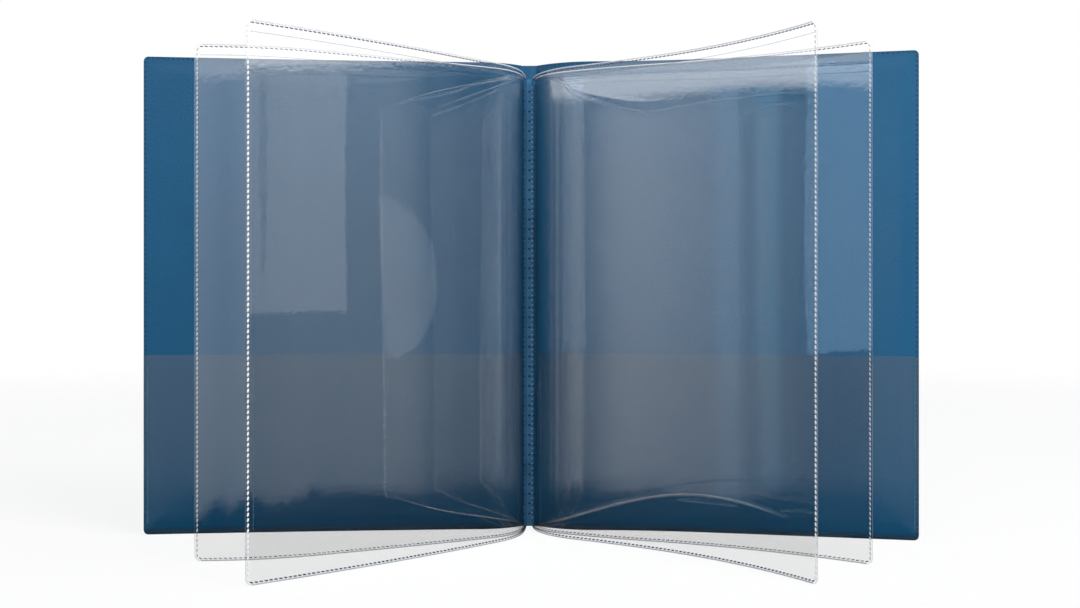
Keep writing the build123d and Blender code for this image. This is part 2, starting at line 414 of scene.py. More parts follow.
def clear_vinyl(name, tint, mirror, haze, rough, ripple, ripple_depth, milk="#F0F3F6"):
    """A clear sheet: how it tints, how much it mirrors head on, and how milky it is."""
    material, tree = new_material(name)
    where = add(tree, "ShaderNodeTexCoord").outputs["Object"]
    wave = add(
        tree,
        "ShaderNodeTexNoise",
        {"Vector": where, "Scale": per_mm(ripple), "Detail": 1.0},
    )
    smudge = add(
        tree,
        "ShaderNodeTexNoise",
        {"Vector": where, "Scale": per_mm(SMUDGE), "Detail": 1.0},
    )
    bump = add(
        tree,
        "ShaderNodeBump",
        {"Height": wave.outputs["Fac"], "Strength": 0.2, "Distance": ripple_depth * MM},
    )
    facing = add(
        tree,
        "ShaderNodeLayerWeight",
        {"Blend": 0.5, "Normal": bump.outputs["Normal"]},
    )
    glance = add(
        tree,
        "ShaderNodeMath",
        {0: facing.outputs["Facing"], 1: 5.0},
        operation="POWER",
    )
    share = add(
        tree,
        "ShaderNodeMath",
        {0: glance.outputs[0], 1: 1 - mirror, 2: mirror},
        operation="MULTIPLY_ADD",
    )
    gloss = add(
        tree,
        "ShaderNodeMapRange",
        {"Value": smudge.outputs["Fac"], "To Min": 0.6 * rough, "To Max": 1.4 * rough},
    )
    passed = add(tree, "ShaderNodeBsdfTransparent", {"Color": linear(tint)})
    shine = add(
        tree,
        "ShaderNodeBsdfGlossy",
        {
            "Color": (1, 1, 1, 1),
            "Roughness": gloss.outputs["Result"],
            "Normal": bump.outputs["Normal"],
        },
    )
    sheet = add(
        tree,
        "ShaderNodeMixShader",
        {0: share.outputs[0], 1: passed.outputs[0], 2: shine.outputs[0]},
    )
    cloudy = add(tree, "ShaderNodeBsdfDiffuse", {"Color": linear(milk)})
    veil = add(
        tree,
        "ShaderNodeMapRange",
        {"Value": smudge.outputs["Fac"], "To Min": 0.5 * haze, "To Max": 1.5 * haze},
    )
    whole = add(
        tree,
        "ShaderNodeMixShader",
        {0: veil.outputs["Result"], 1: sheet.outputs[0], 2: cloudy.outputs[0]},
    )
    add(tree, "ShaderNodeOutputMaterial", {"Surface": whole.outputs[0]})
    return material


print("smudges are about", SMUDGE, "mm wide")

# %% Materials: clear films and their welds
leaf_film = clear_vinyl("polished clear film", "#FDFDFD", 0.078, 0.001, 0.02, 3.0, 0.04)
pocket_film = clear_vinyl("grained clear vinyl", "#F2F3F3", 0.08, 0.002, 0.12, 1.6, 0.12)
film_edge = clear_vinyl("cut edge of clear film", "#C9CFD4", 0.2, 0.25, 0.2, 1.0, 0.02)
# Painted darkening: the level stitches' dark blue-grey tint stands in for the light the stitches
# bend away.
clear_weld = clear_vinyl("clear weld stitch", "#62809C", 0.12, 0.05, 0.1, 1.0, 0.02)
# Partly a painted glint: the outer leaves' upright stitches and the spine's stitches are frosted
# white.
frosted_weld_part_glint = clear_vinyl("frosted weld stitch, part painted glint", "#D8DEE4", 0.3, 0.65, 0.15, 1.0, 0.02)
# Painted glint: the inner leaves' upright stitches are milky white.
painted_glint_weld = clear_vinyl(
    "weld stitch with painted glint", "#F2F4F6", 0.3, 1.2, 0.15, 1.0, 0.02, milk="#FDFDFD"
)
spine_film = clear_vinyl(
    "film pressed into the spine", "#EEF4F8", 0.008, 0.65, 0.3, 1.0, 0.02, milk="#5C9CC8"
)
weld_dot = clear_vinyl(
    "pressed weld dot", "#54789A", 0.02, 1.6, 0.3, 1.0, 0.02, milk="#123E5E"
)
weld_flash = clear_vinyl("frosted weld flash", "#E6EAEE", 0.2, 0.45, 0.15, 1.0, 0.02)
# Painted highlight: the head flash is whiter than the foot flash.
painted_highlight_flash = clear_vinyl("weld flash with painted highlight", "#F2F4F6", 0.25, 1.2, 0.15, 1.0, 0.02)
cut_mouth = clear_vinyl("cut mouth of clear film", "#E2E6E9", 0.05, 0.02, 0.2, 1.0, 0.02)
# Partly a painted highlight: the crease bead's milky share makes its ridge pale.
crease_part_painted_highlight = clear_vinyl("crease in clear film, part painted highlight", "#F8F9FA", 0.12, 0.06, 0.15, 1.0, 0.02)
# Painted glint: the rib's teal milk stands in for light caught in the thick edge.
teal_glint_rib = clear_vinyl(
    "thick clear vinyl rib, painted teal glint", "#86CBD8", 0.05, 0.25, 0.2, 1.0, 0.02, milk="#6FC3D6"
)


def see_through(name, tint):
    """A face that mirrors nothing and only tints what is behind it."""
    material, tree = new_material(name)
    passed = add(tree, "ShaderNodeBsdfTransparent", {"Color": linear(tint)})
    add(tree, "ShaderNodeOutputMaterial", {"Surface": passed.outputs[0]})
    return material


# Folded into the spine, the films lie in many layers and only dim what is behind them.
film_back = see_through("back of clear film", "#FFFFFF")
film_fold = see_through("clear film folded into the spine", "#C4CFD8")
LEAF_MATERIALS = [leaf_film, film_back, film_edge, film_fold]
POCKET_MATERIALS = [pocket_film, film_back, film_edge]
print("leaf:", ", ".join(material.name for material in LEAF_MATERIALS))
print("pocket:", ", ".join(material.name for material in POCKET_MATERIALS))

# %% [markdown]
# ## How a piece is placed
# A real sheet has no pin: it bends beside the spine. Each sheet here is one unbroken piece
# that is baked where it stands, and the imported pieces it stands for are hidden. Where its
# turn would start and end beside the hinge is worked out, but nothing bends the piece.

# %% Pieces that replace the imported ones


def bend_with(piece, sheet, reach, nodes):
    """Bakes the piece in place and hides the nodes it replaces. It does not bend the piece."""
    middle = cad_bounds[1][2] / MM / 2
    start = on_sheet(sheet, sheet.hinge - reach, middle, 0)
    end = on_sheet(sheet, sheet.hinge + reach, middle, 0)
    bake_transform(piece)
    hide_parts(*nodes)


COVER_REACH = 16
LEAF_REACH = 18
print("covers bend over", 2 * COVER_REACH, "mm and leaves over", 2 * LEAF_REACH, "mm")

# %% [markdown]
# ## The cover
# Two sheets of blue vinyl lie back to back and are welded along the edge, so just inside the
# weld they are slightly padded. That padding is real shape: at the top it leans back and
# catches the light, and at the foot it leans forward and stays dark. The left and the right
# half meet at the middle of the spine, each a piece of its own.

# %% Relief of the cover
WELD_TO = 2.4
PAD_WIDTH, PAD_RISE = 9.0, 0.3
PAD_KEPT, PAD_FADE = 0.35, 60
PAD_FROM_SPINE = 20
OUTER_PAD = 0.6


def from_edge(distance, height, width, low, high):
    """How far a point lies from the nearest free edge."""
    return np.minimum(width - distance, np.minimum(height - low, high - height))


def padded(edge):
    """Flat as far as the weld, then a soft swelling that dies away inward."""
    rise = ease((edge - WELD_TO) / PAD_WIDTH)
    fade = PAD_KEPT + (1 - PAD_KEPT) * np.exp(-np.maximum(edge, 0) / PAD_FADE)
    return PAD_RISE * rise * fade


def lining_front(distance, height):
    edge = from_edge(distance, height, COVER_WIDTH, 0, COVER_HEIGHT)
    return LINING + padded(edge) * ease((distance - SPINE_HALF) / PAD_FROM_SPINE)


def skin_back(distance, height):
    edge = from_edge(distance, height, COVER_WIDTH, 0, COVER_HEIGHT)
    return -SKIN - OUTER_PAD * padded(edge) * ease((distance - SPINE_HALF) / PAD_FROM_SPINE)


print(f"padding beside the weld: {padded(WELD_TO + PAD_WIDTH):.2f} mm")

# %% The lining and the skin
SEAM = 0.01
EDGE_ROWS = ((0, 0.3), (4, 0.8), (12, 3), (24, 8))


def both_edges(height):
    """Rows that stand close at the foot and at the head."""
    low = spaced(*EDGE_ROWS, stop=height / 2)
    return np.concatenate([low, height - low[-2::-1]])


cover_columns = spaced(
    (0, 1.2), (3, 0.25), (6, 2), (44, 6), (COVER_WIDTH - 16, 1.6), (COVER_WIDTH - 5, 0.3),
    stop=COVER_WIDTH,
)
cover_grid = round_corners(
    cover_columns, both_edges(COVER_HEIGHT), COVER_CORNER, ("foot", "head")
)
for body, sheet in COVERS.items():
    side = body.split("_")[0]
    layers = (
        ("lining", "inner_lining", SEAM, lining_front(*cover_grid)),
        ("skin", "outer_skin", skin_back(*cover_grid), -SEAM),
    )
    for name, layer, back, front in layers:
        made = closed_grid(
            f"{side}_{name}_sheet",
            on_sheet(sheet, *cover_grid, back),
            on_sheet(sheet, *cover_grid, front),
            sheet.side,
            [cover_vinyl],
        )
        nodes = f"{side}_cover_{layer}", f"spine_{layer}"
        bend_with(made, sheet, COVER_REACH, nodes)
        print(f"{made.name}: {len(made.data.polygons)} faces")

# %% [markdown]
# ## The cover pockets
# A strip of thicker, grained clear vinyl covers the lower part of each cover. It is welded
# with the cover at the foot and the fore edge, and its mouth is open at the top, where the
# strip stands a little away from the lining.

# %% The two pockets
POCKET_START = 8.6
POCKET_GAP = 0.05
POCKET_BELLY, BELLY_WIDTH = 0.5, 25


def pocket_back(distance, height):
    edge = np.minimum(np.minimum(COVER_WIDTH - distance, height), distance - POCKET_START)
    opened = 0.5 + 0.5 * height / POCKET_HEIGHT
    belly = POCKET_BELLY * ease((edge - WELD_TO) / BELLY_WIDTH) * opened
    return lining_front(distance, height) + POCKET_GAP + belly


pocket_columns = spaced(
    (POCKET_START, 2), (44, 6), (COVER_WIDTH - 16, 1.6), (COVER_WIDTH - 5, 0.3),
    stop=COVER_WIDTH,
)
pocket_rows = spaced(*EDGE_ROWS, (POCKET_HEIGHT - 4, 1), stop=POCKET_HEIGHT)
pocket_grid = round_corners(pocket_columns, pocket_rows, COVER_CORNER, ("foot",))
for body, sheet in COVERS.items():
    side = body.split("_")[0]
    back = pocket_back(*pocket_grid)
    pocket = closed_grid(
        f"{side}_pocket_sheet",
        on_sheet(sheet, *pocket_grid, back),
        on_sheet(sheet, *pocket_grid, back + POCKET_FILM),
        sheet.side,
        POCKET_MATERIALS,
    )
    nodes = f"{side}_cover_pocket", f"{side}_pocket_root"
    bend_with(pocket, sheet, COVER_REACH, nodes)
    print(f"{pocket.name}: {len(pocket.data.polygons)} faces")

# %% [markdown]
# ## The leaves
# A leaf is two films: a full back film, and a front film that stops short of the top so that
# a paper can be slid in. They are welded at the foot and the fore edge. Film that is held at
# the spine and pulled forward gets creases that fan out from the spine's corners, and a slow
# wave elsewhere. Creases are low ridges in the mesh here, because they bend what the film
# mirrors, and each is a curve through a few points, as distance from the spine and height.
# The first few millimetres are folded into the spine and mirror nothing.

# %% Relief of a leaf
ROOT_TO = 5.0
CREASE_WIDTH = 0.9
CREASE_SLANT = 0.045
CREASE_ROOT, CREASE_PAST, CREASE_FADE = 14, 25, 60
WAVE, WAVE_FROM, WAVE_GROWTH = 0.12, 12, 40
FIRST_SWELL, SECOND_SWELL, SECOND_SHARE = (31, 67), (53, -41), 0.7
FILM_GAP, LEAF_BELLY = 0.02, 0.5
ROOM_FROM_EDGE, ROOM_FROM_ROOT = 22, 30
CREASES = {
    "left_inner_leaf": [
        (0.5, [(37, 284.6), (58, 279.4), (96, 270), (146, 252.1)]),
        (0.4, [(37, 284), (52, 278.7), (80, 268.2), (122, 251.5)]),
        (0.6, [(37, 8.2), (66, 15.6), (93, 21.7), (144, 38.8)]),
        (0.4, [(40, 9.9), (80, 24.4), (110, 34)]),
    ],
    "right_inner_leaf": [
        (0.45, [(39, 282.2), (55, 276.1), (88, 266), (109, 262.4)]),
        (1.4, [(35, 7.8), (55, 13.7), (95, 26.7), (129, 33.9), (173, 34.9), (212, 30)]),
        (0.4, [(40, 9.5), (51, 18.8), (58, 27.1)]),
    ],
}


def crease_line(points):
    """A smooth curve through a crease's points, and where it starts and ends."""
    places, levels = np.transpose(points)
    line = np.polynomial.Polynomial.fit(places, levels, min(4, len(points) - 1))
    return line, places[0], places[-1]


def creases(name, distance, height):
    """Ridges that start at the spine and fade out along the leaf."""
    total = 0 * distance
    for width, points in CREASES.get(name, ()):
        line, start, end = crease_line(points)
        slope = np.cos(np.arctan(line.deriv()(distance)))
        gap = (height - line(distance)) * slope / CREASE_WIDTH
        fade = ease((distance - start + CREASE_ROOT) / CREASE_ROOT)
        fade = fade * ease((end + CREASE_PAST - distance) / CREASE_FADE)
        total = total + CREASE_SLANT * width * fade * np.exp(-(gap**2))
    return total


def slow_wave(sheet, distance, height):
    """A few long swells, different on each leaf, that die away at the spine."""
    shift = sheet.hinge / 10
    out, up = FIRST_SWELL
    swell = np.sin(distance / out + height / up + shift)
    out, up = SECOND_SWELL
    swell = swell + SECOND_SHARE * np.sin(distance / out + height / up + 2 * shift)
    return WAVE * swell * ease((distance - WAVE_FROM) / WAVE_GROWTH)


def leaf_room(distance, height):
    """How far the front film stands off the back film: nothing at the weld, then a belly."""
    edge = np.minimum(LEAF_WIDTH - distance, height)
    belly = LEAF_BELLY * ease((edge - WELD_TO) / ROOM_FROM_EDGE)
    return FILM_GAP + belly * ease((distance - ROOT_TO) / ROOM_FROM_ROOT)


print("creases:", sum(len(rows) for rows in CREASES.values()))

# %% The eight films
INNER_ROWS = ((0, 0.35), (4, 0.8), (46, 8), (LEAF_HEIGHT - 54, 0.8), (LEAF_HEIGHT - 7, 0.5))
OUTER_ROWS = ((0, 0.35), (4, 1.5), (16, 8), (LEAF_HEIGHT - 20, 1.5), (LEAF_HEIGHT - 7, 0.5))
FORE = ((LEAF_WIDTH - 12, 1.2), (LEAF_WIDTH - 5, 0.35))
leaf_columns = spaced((1.0, 0.25), (4, 1.5), (40, 3), *FORE, stop=LEAF_WIDTH)
for body, sheet in LEAVES.items():
    zones = INNER_ROWS if "inner" in body else OUTER_ROWS
    films = (
        ("back", spaced(*zones, stop=LEAF_HEIGHT), ("foot", "head")),
        ("front", spaced(*zones[:-1], stop=MOUTH_HEIGHT), ("foot",)),
    )
    for name, rows, rounded in films:
        grid = round_corners(leaf_columns, rows, LEAF_CORNER, rounded)
        relief = creases(body, *grid) + slow_wave(sheet, *grid)
        if name == "front":
            relief = relief + FILM + leaf_room(*grid)
        film = closed_grid(
            f"{body}_{name}_sheet",
            on_sheet(sheet, *grid, relief),
            on_sheet(sheet, *grid, relief + FILM),
            sheet.side,
            LEAF_MATERIALS,
        )
        root = grid[0][:-1, :-1].ravel() < ROOT_TO
        slots = np.zeros(len(film.data.polygons), int)
        film.data.polygons.foreach_get("material_index", slots)
        slots[root.size : 2 * root.size][root] = LEAF_MATERIALS.index(film_fold)
        film.data.polygons.foreach_set("material_index", slots)
        bend_with(film, sheet, LEAF_REACH, [f"{body}_{name}_film"])
        print(f"{film.name}: {len(film.data.polygons)} faces")

# %% [markdown]
# ## The stitched welds
# The welding rule leaves a row of small pillows, like a twisted cord, along every edge. An
# array of one pillow would not follow the bowed sheets, so the pillow's own points are laid
# out in distances and heights and are then placed by the same plan as the sheet. Stitches
# that run level are slimmer, as they look on the real book.

# %% The line of a weld, and one stitch
LINE_STEP = 0.5
TURN_POINTS = 12
CORNER_INSET = 0.6


def edge_line(width, low, high, corner, inset, start):
    """Points a step apart or less along the head, the fore edge and the foot of a sheet."""
    radius = corner - inset * CORNER_INSET
    far, bottom, top = width - inset, low + inset, high - inset
    head = [(d, top) for d in spaced((start, LINE_STEP), stop=far - radius)]
    turn = np.linspace(pi / 2, 0, TURN_POINTS)[1:-1]
    down = [(far - radius + radius * np.cos(a), top - radius + radius * np.sin(a)) for a in turn]
    fore = [(far, h) for h in spaced((bottom + radius, LINE_STEP), stop=top - radius)][::-1]
    back = [(d, bottom + top - h) for d, h in down[::-1]]
    foot = [(d, bottom) for d, h in head[::-1]]
    return np.array(head + down + fore + back + foot)


def pillow(length, width, thickness, slant):
    """Points of one stitch, as along, across and out, and the faces that join them."""
    rings, around = 7, 8
    u = np.sin(np.linspace(-pi / 2, pi / 2, rings + 2))[1:-1]
    swell = (1 - np.abs(u) ** 3) ** 0.5
    angle = np.linspace(0, 2 * pi, around, endpoint=False)
    a = np.repeat(u * length / 2, around)
    b = np.outer(swell, np.cos(angle)).ravel() * width / 2
    c = np.outer(swell, np.sin(angle)).ravel() * thickness / 2
    a = np.append(a, [-length / 2, length / 2])
    b, c = np.append(b, [0, 0]), np.append(c, [0, 0])
    a, b = a * np.cos(slant) - b * np.sin(slant), a * np.sin(slant) + b * np.cos(slant)
    faces = []
    for k in range(around):
        n = (k + 1) % around
        for r in range(rings - 1):
            first, second = r * around, (r + 1) * around
            faces.append((first + k, first + n, second + n, second + k))
        faces.append((len(u) * around, n, k))
        last = (rings - 1) * around
        faces.append((len(u) * around + 1, last + k, last + n))
    return np.stack([a, b, c], -1), faces


print("one stitch has", len(pillow(1, 1, 1, 0)[1]), "faces")

# %% A row of stitches
LEVEL_SLIM = 0.75
UPRIGHT_FROM = 0.7
LOOK = 0.3


def on_line(line, pitch):
    """Places along a line at a pitch, and the way the line runs there."""
    steps = np.linalg.norm(np.diff(line, axis=0), axis=1)
    run = np.append(0, np.cumsum(steps))
    centres = np.arange(pitch / 2, run[-1], pitch)

    def at(places):
        return np.stack([np.interp(places, run, line[:, k]) for k in (0, 1)], -1)

    way = at(centres + LOOK) - at(centres - LOOK)
    return at(centres), way / np.linalg.norm(way, axis=1)[:, None]


def stitch_row(name, line, pitch, shape, place, materials):
    """Stitches along a line of distances and heights. place turns them into points. The
    second material is for stitches that run up and down."""
    spot, way = on_line(line, pitch)
    upright = np.abs(way[:, 1]) > UPRIGHT_FROM
    points, faces = shape
    a, b, c = points.T
    b = b * np.where(upright, 1, LEVEL_SLIM)[:, None]
    distance = spot[:, :1] + way[:, :1] * a - way[:, 1:] * b
    height = spot[:, 1:] + way[:, 1:] * a + way[:, :1] * b
    solid = place(distance, height, np.broadcast_to(c, distance.shape))
    count = len(points)
    all_faces = [[v + k * count for v in f] for k in range(len(spot)) for f in faces]
    made = add_object(name, solid, all_faces, materials)
    slots = np.repeat(np.where(upright, len(materials) - 1, 0), len(faces))
    made.data.polygons.foreach_set("material_index", slots)
    print(f"{name}: {len(spot)} stitches, {upright.sum()} of them upright")
    return made


print("stitches of a level weld are", LEVEL_SLIM, "as wide")

# %% [markdown]
# ## Unbroken beads
# Outside the stitches the weld squeezes a thin rim of film out, the flash. The mouth of a
# pocket is a cut edge, and a sharp crease has a pale line on its ridge, which is partly its
# shape mirroring the room and partly a painted highlight in its milky colour. All of these are
# one round bead along a line. A curve with a bevel could do it, but it would not know the plan.

# %% A bead along a line
BEAD_SIDES, BEAD_STEP = 6, 1.0
BEAD_TIP = 0.1


def bead(name, line, width, thickness, place, material, taper=0.1):
    """An unbroken round bead along a line of distances and heights. Its ends taper over a
    number of millimetres."""
    spot, way = on_line(line, BEAD_STEP)
    angle = np.linspace(0, 2 * pi, BEAD_SIDES, endpoint=False)
    count = np.arange(1, len(spot) + 1)
    whole = ease(np.minimum(count, count[::-1]) / taper)[:, None]
    thin = BEAD_TIP + (1 - BEAD_TIP) * whole
    b, c = thin * np.cos(angle) * width / 2, thin * np.sin(angle) * thickness / 2
    distance = spot[:, :1] - way[:, 1:] * b
    height = spot[:, 1:] + way[:, :1] * b
    solid = place(distance, height, c)
    number = np.arange(len(spot) * BEAD_SIDES).reshape(-1, BEAD_SIDES)
    beside = np.roll(number, -1, axis=1)
    sides = np.stack([number[:-1], beside[:-1], beside[1:], number[1:]], -1).reshape(-1, 4)
    caps = [number[0, ::-1].tolist(), number[-1].tolist()]
    made = add_object(name, solid, sides.tolist() + caps, [material])
    print(f"{name}: {len(made.data.polygons)} faces")
    return made


print("a bead has", BEAD_SIDES, "points every", BEAD_STEP, "mm")

# %% [markdown]
# ## The welds of the leaves
# Each leaf has stitches round three sides, a flash along its head and its foot, and a cut
# mouth. On the real book the upright stitches look white and the level ones clear and bluish,
# which is light bent by the stitches. Here that is painted: the upright stitches are milky
# white, a painted glint, and the level ones are tinted a dark blue-grey, a painted darkening,
# so a row of stitches has two materials. The head flash is milkier than the foot flash, which
# is a painted highlight.

# %% Welds, mouths and creases of the leaves
LEAF_PITCH = 2.75
LEAF_INSET = 1.4
STITCH_LENGTH, STITCH_RISE, STITCH_SLANT = 2.2, 0.7, radians(12)
# Upright stitches are milky white or frosted, a painted glint.
STITCHES = {"inner": (1.1, painted_glint_weld), "outer": (0.8, frosted_weld_part_glint)}
FLASH_INSET, FLASH_RISE = 0.35, 0.4
FOOT_FLASH, HEAD_FLASH = 0.6, 0.55
MOUTH_WIDTH, MOUTH_RISE = 0.35, 0.25
CREASE_RISE, CREASE_LEAD, CREASE_TAPER = 0.25, 12, 40
for body, sheet in LEAVES.items():

    def on_leaf(distance, height, out, sheet=sheet, body=body):
        relief = creases(body, distance, height) + slow_wave(sheet, distance, height)
        return on_sheet(sheet, distance, height, relief + FILM + out)

    def on_front(distance, height, out, place=on_leaf):
        return place(distance, height, leaf_room(distance, height) + FILM + out)

    made = []
    width, upright_glint_weld = STITCHES[body.split("_")[1]]
    stitch = pillow(STITCH_LENGTH, width, STITCH_RISE, STITCH_SLANT)
    line = edge_line(LEAF_WIDTH, 0, LEAF_HEIGHT, LEAF_CORNER, LEAF_INSET, ROOT_TO)
    welds = [clear_weld, upright_glint_weld]
    made.append(stitch_row(f"{body}_stitches", line, LEAF_PITCH, stitch, on_leaf, welds))
    ends = (
        ("foot", FLASH_INSET, FOOT_FLASH, weld_flash),
        # The head flash's whiter colour is a painted highlight.
        ("head", LEAF_HEIGHT - FLASH_INSET, HEAD_FLASH, painted_highlight_flash),
    )
    for end, level, width, flash in ends:
        line = np.array([(ROOT_TO, level), (LEAF_WIDTH - LEAF_CORNER, level)])
        name = f"{body}_{end}_flash"
        made.append(bead(name, line, width, FLASH_RISE, on_leaf, flash))
    mouth = MOUTH_HEIGHT - MOUTH_WIDTH / 2
    line = np.array([(ROOT_TO + 1, mouth), (LEAF_WIDTH - WELD_TO, mouth)])
    made.append(bead(f"{body}_mouth", line, MOUTH_WIDTH, MOUTH_RISE, on_front, cut_mouth))
    for number, (width, points) in enumerate(CREASES.get(body, ()), 1):
        curve, start, end = crease_line(points)
        places = np.arange(start - CREASE_LEAD, end)
        line = np.stack([places, curve(places)], -1)
        name = f"{body}_crease_{number}"
        ridge = bead(name, line, width, CREASE_RISE, on_front, crease_part_painted_highlight, CREASE_TAPER)
        made.append(ridge)
    for piece in made:
        bend_with(piece, sheet, LEAF_REACH, [f"{body}_back_film"])

# %% [markdown]
# ## The welds of the covers
# The rule presses through both blue sheets, so the same row of stitches shows on the inside
# and on the outside. The last half millimetre swells to a round rim.

# %% Welds and rims of the covers
COVER_STITCH = pillow(length=1.7, width=0.9, thickness=0.7, slant=radians(8))
COVER_PITCH = 3.0
COVER_INSET, COVER_START = 1.2, 6
SUNK = 0.1
RIM_INSET, RIM_WIDTH, RIM_RISE = 0.3, 0.6, 0.5


def cover_edge(inset):
    return edge_line(COVER_WIDTH, 0, COVER_HEIGHT, COVER_CORNER, inset, COVER_START)


for body, sheet in COVERS.items():

    def on_cover(distance, height, out, sheet=sheet):
        return on_sheet(sheet, distance, height, LINING - SUNK + out)

    def on_skin(distance, height, out, sheet=sheet):
        return on_sheet(sheet, distance, height, SUNK - SKIN + out)

    side = body.split("_")[0]
    nodes = f"{side}_cover_inner_lining", f"{side}_cover_outer_skin"
    line = cover_edge(COVER_INSET)
    for name, place in ((f"{body}_stitches", on_cover), (f"{body}_outer_stitches", on_skin)):
        row = stitch_row(name, line, COVER_PITCH, COVER_STITCH, place, [pressed_vinyl])
        bend_with(row, sheet, COVER_REACH, nodes)
    line = cover_edge(RIM_INSET)
    rim = bead(f"{body}_rim", line, RIM_WIDTH, RIM_RISE, on_cover, cover_vinyl)
    bend_with(rim, sheet, COVER_REACH, nodes)

# %% [markdown]
# ## The ribs of the pockets
# The pocket's vinyl is thick, so beside the weld at the fore edge it stands up as a rib. Its
# teal glint is painted: the rib is tinted teal and milky teal. It ends short of the foot and of
# the mouth.

# %% Ribs of the pockets
RIB_INSET, RIB_WIDTH, RIB_RISE = 2.4, 0.8, 0.5
RIB_FROM, RIB_SHORT = 6.0, 1.0
RIB_OUT = 0.15
for body, sheet in COVERS.items():
    side = body.split("_")[0]

    def on_pocket(distance, height, out, sheet=sheet):
        return on_sheet(sheet, distance, height, pocket_back(distance, height) + RIB_OUT + out)

    at_edge = COVER_WIDTH - RIB_INSET
    line = np.array([(at_edge, RIB_FROM), (at_edge, POCKET_HEIGHT - RIB_SHORT)])
    rib = bead(f"{side}_pocket_rib", line, RIB_WIDTH, RIB_RISE, on_pocket, teal_glint_rib)
    bend_with(rib, sheet, COVER_REACH, [f"{side}_cover_pocket"])

# %% [markdown]
# ## The weld in the spine
# The folds of both double leaves are pressed into the spine by one narrow electrode. It
# leaves a flat strip with a bead along each side and a dimple about every quarter inch. The
# dimples are part of the strip's grid, so they are real hollows, and their faces have a darker
# blue of their own, because the film is thinnest there. One edge keeps a row of stitches.

# %% Relief of the strip in the spine
STRIP_HALF = 1.95
STRIP_SUNK = 0.05
STRIP_BACK = LINING + 2 * LEAF - STRIP_SUNK
STRIP_RISE = 0.35
DOT_PITCH = 6.35
DOT_RADIUS = 0.65
DOT_END = 5.0
DOT_DEPTH, DOT_RIM, DOT_SLOPE = 0.3, 1.25 * DOT_RADIUS, 0.6 * DOT_RADIUS
LIP_RISE, LIP_RADIUS, LIP_WIDTH = 0.1, 1.6 * DOT_RADIUS, 0.2
SIDE_BEAD_INSET, SIDE_BEAD_RISE, SIDE_BEAD_WIDTH = 0.35, 0.12, 0.25


def from_dot(across, height):
    """How far a point of the strip lies from the middle of the nearest dot."""
    from_middle = np.abs(height - LEAF_HEIGHT / 2)
    nearest = from_middle % DOT_PITCH - DOT_PITCH / 2
    dotted = from_middle < LEAF_HEIGHT / 2 - DOT_END
    return np.where(dotted, np.hypot(across, nearest), DOT_PITCH)


def strip_relief(across, height):
    beside = np.abs(np.abs(across) - STRIP_HALF + SIDE_BEAD_INSET)
    ridge = SIDE_BEAD_RISE * np.exp(-((beside / SIDE_BEAD_WIDTH) ** 2))
    radius = from_dot(across, height)
    dimple = -DOT_DEPTH * ease((DOT_RIM - radius) / DOT_SLOPE)
    lip = LIP_RISE * np.exp(-(((radius - LIP_RADIUS) / LIP_WIDTH) ** 2))
    return STRIP_RISE + ridge + dimple + lip


def on_strip(across, height, out):
    return np.stack(np.broadcast_arrays(across, -(STRIP_BACK + out), height), -1) * MM


print("dots:", 2 * int((LEAF_HEIGHT / 2 - DOT_END) / DOT_PITCH + 0.5))

# %% The strip and its stitches
STRIP_END = 0.2
across, height = np.meshgrid(
    np.linspace(-STRIP_HALF, STRIP_HALF, 25),
    spaced((STRIP_END, 0.33), stop=LEAF_HEIGHT - STRIP_END),
    indexing="ij",
)
strip = closed_grid(
    "spine_weld_strip",
    on_strip(across, height, 0),
    on_strip(across, height, strip_relief(across, height)),
    1,
    [spine_film, weld_dot],
)
middle = from_dot(*(0.5 * (grid[:-1, :-1] + grid[1:, 1:]) for grid in (across, height)))
slots = np.zeros(len(strip.data.polygons), int)
slots[middle.size : 2 * middle.size] = (middle < DOT_RADIUS).ravel()
strip.data.polygons.foreach_set("material_index", slots)
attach(strip, "spine")
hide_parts("inner_leaf_spine", "outer_leaf_spine")
print(f"strip: {len(strip.data.polygons)} faces")

SPINE_STITCH = pillow(length=1.0, width=0.5, thickness=0.4, slant=0)
SPINE_PITCH, SPINE_SHORT, SPINE_INSET = 3.2, 4.0, 0.1
at_edge = STRIP_HALF - SPINE_INSET
line = np.array([(at_edge, SPINE_SHORT), (at_edge, LEAF_HEIGHT - SPINE_SHORT)])


def beside_strip(across, height, out):
    return on_strip(across, height, STRIP_RISE + SUNK + out)


row = stitch_row(
    "spine_stitches", line, SPINE_PITCH, SPINE_STITCH, beside_strip, [frosted_weld_part_glint]
)
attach(row, "spine")
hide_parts("inner_leaf_spine")

# %% [markdown]
# ## The studio
# The book stands on a plain white ground. The world gives an even soft light, and the camera
# and clear things see it as pure white. The floor is a disc of matt paper that fades into that
# white and keeps the book's shadow. Its fibre is drawn coarser than real paper has it.

# %% World
world = bpy.data.worlds.new("studio")
bpy.context.scene.world = world
world.use_nodes = True
tree = world.node_tree
tree.nodes.clear()
soft = add(tree, "ShaderNodeBackground", {"Color": linear("#AAAEB2"), "Strength": 1.0})
white = add(tree, "ShaderNodeBackground", {"Color": (1, 1, 1, 1), "Strength": 1.0})
rays = add(tree, "ShaderNodeLightPath").outputs
seen = rays["Is Camera Ray"]
for ray in ("Is Glossy Ray", "Is Transmission Ray"):
    seen = add(tree, "ShaderNodeMath", {0: seen, 1: rays[ray]}, operation="MAXIMUM").outputs[0]
sky = add(
    tree,
    "ShaderNodeMixShader",
    {0: seen, 1: soft.outputs[0], 2: white.outputs[0]},
)
add(tree, "ShaderNodeOutputWorld", {"Surface": sky.outputs[0]})
print("world:", world.name)

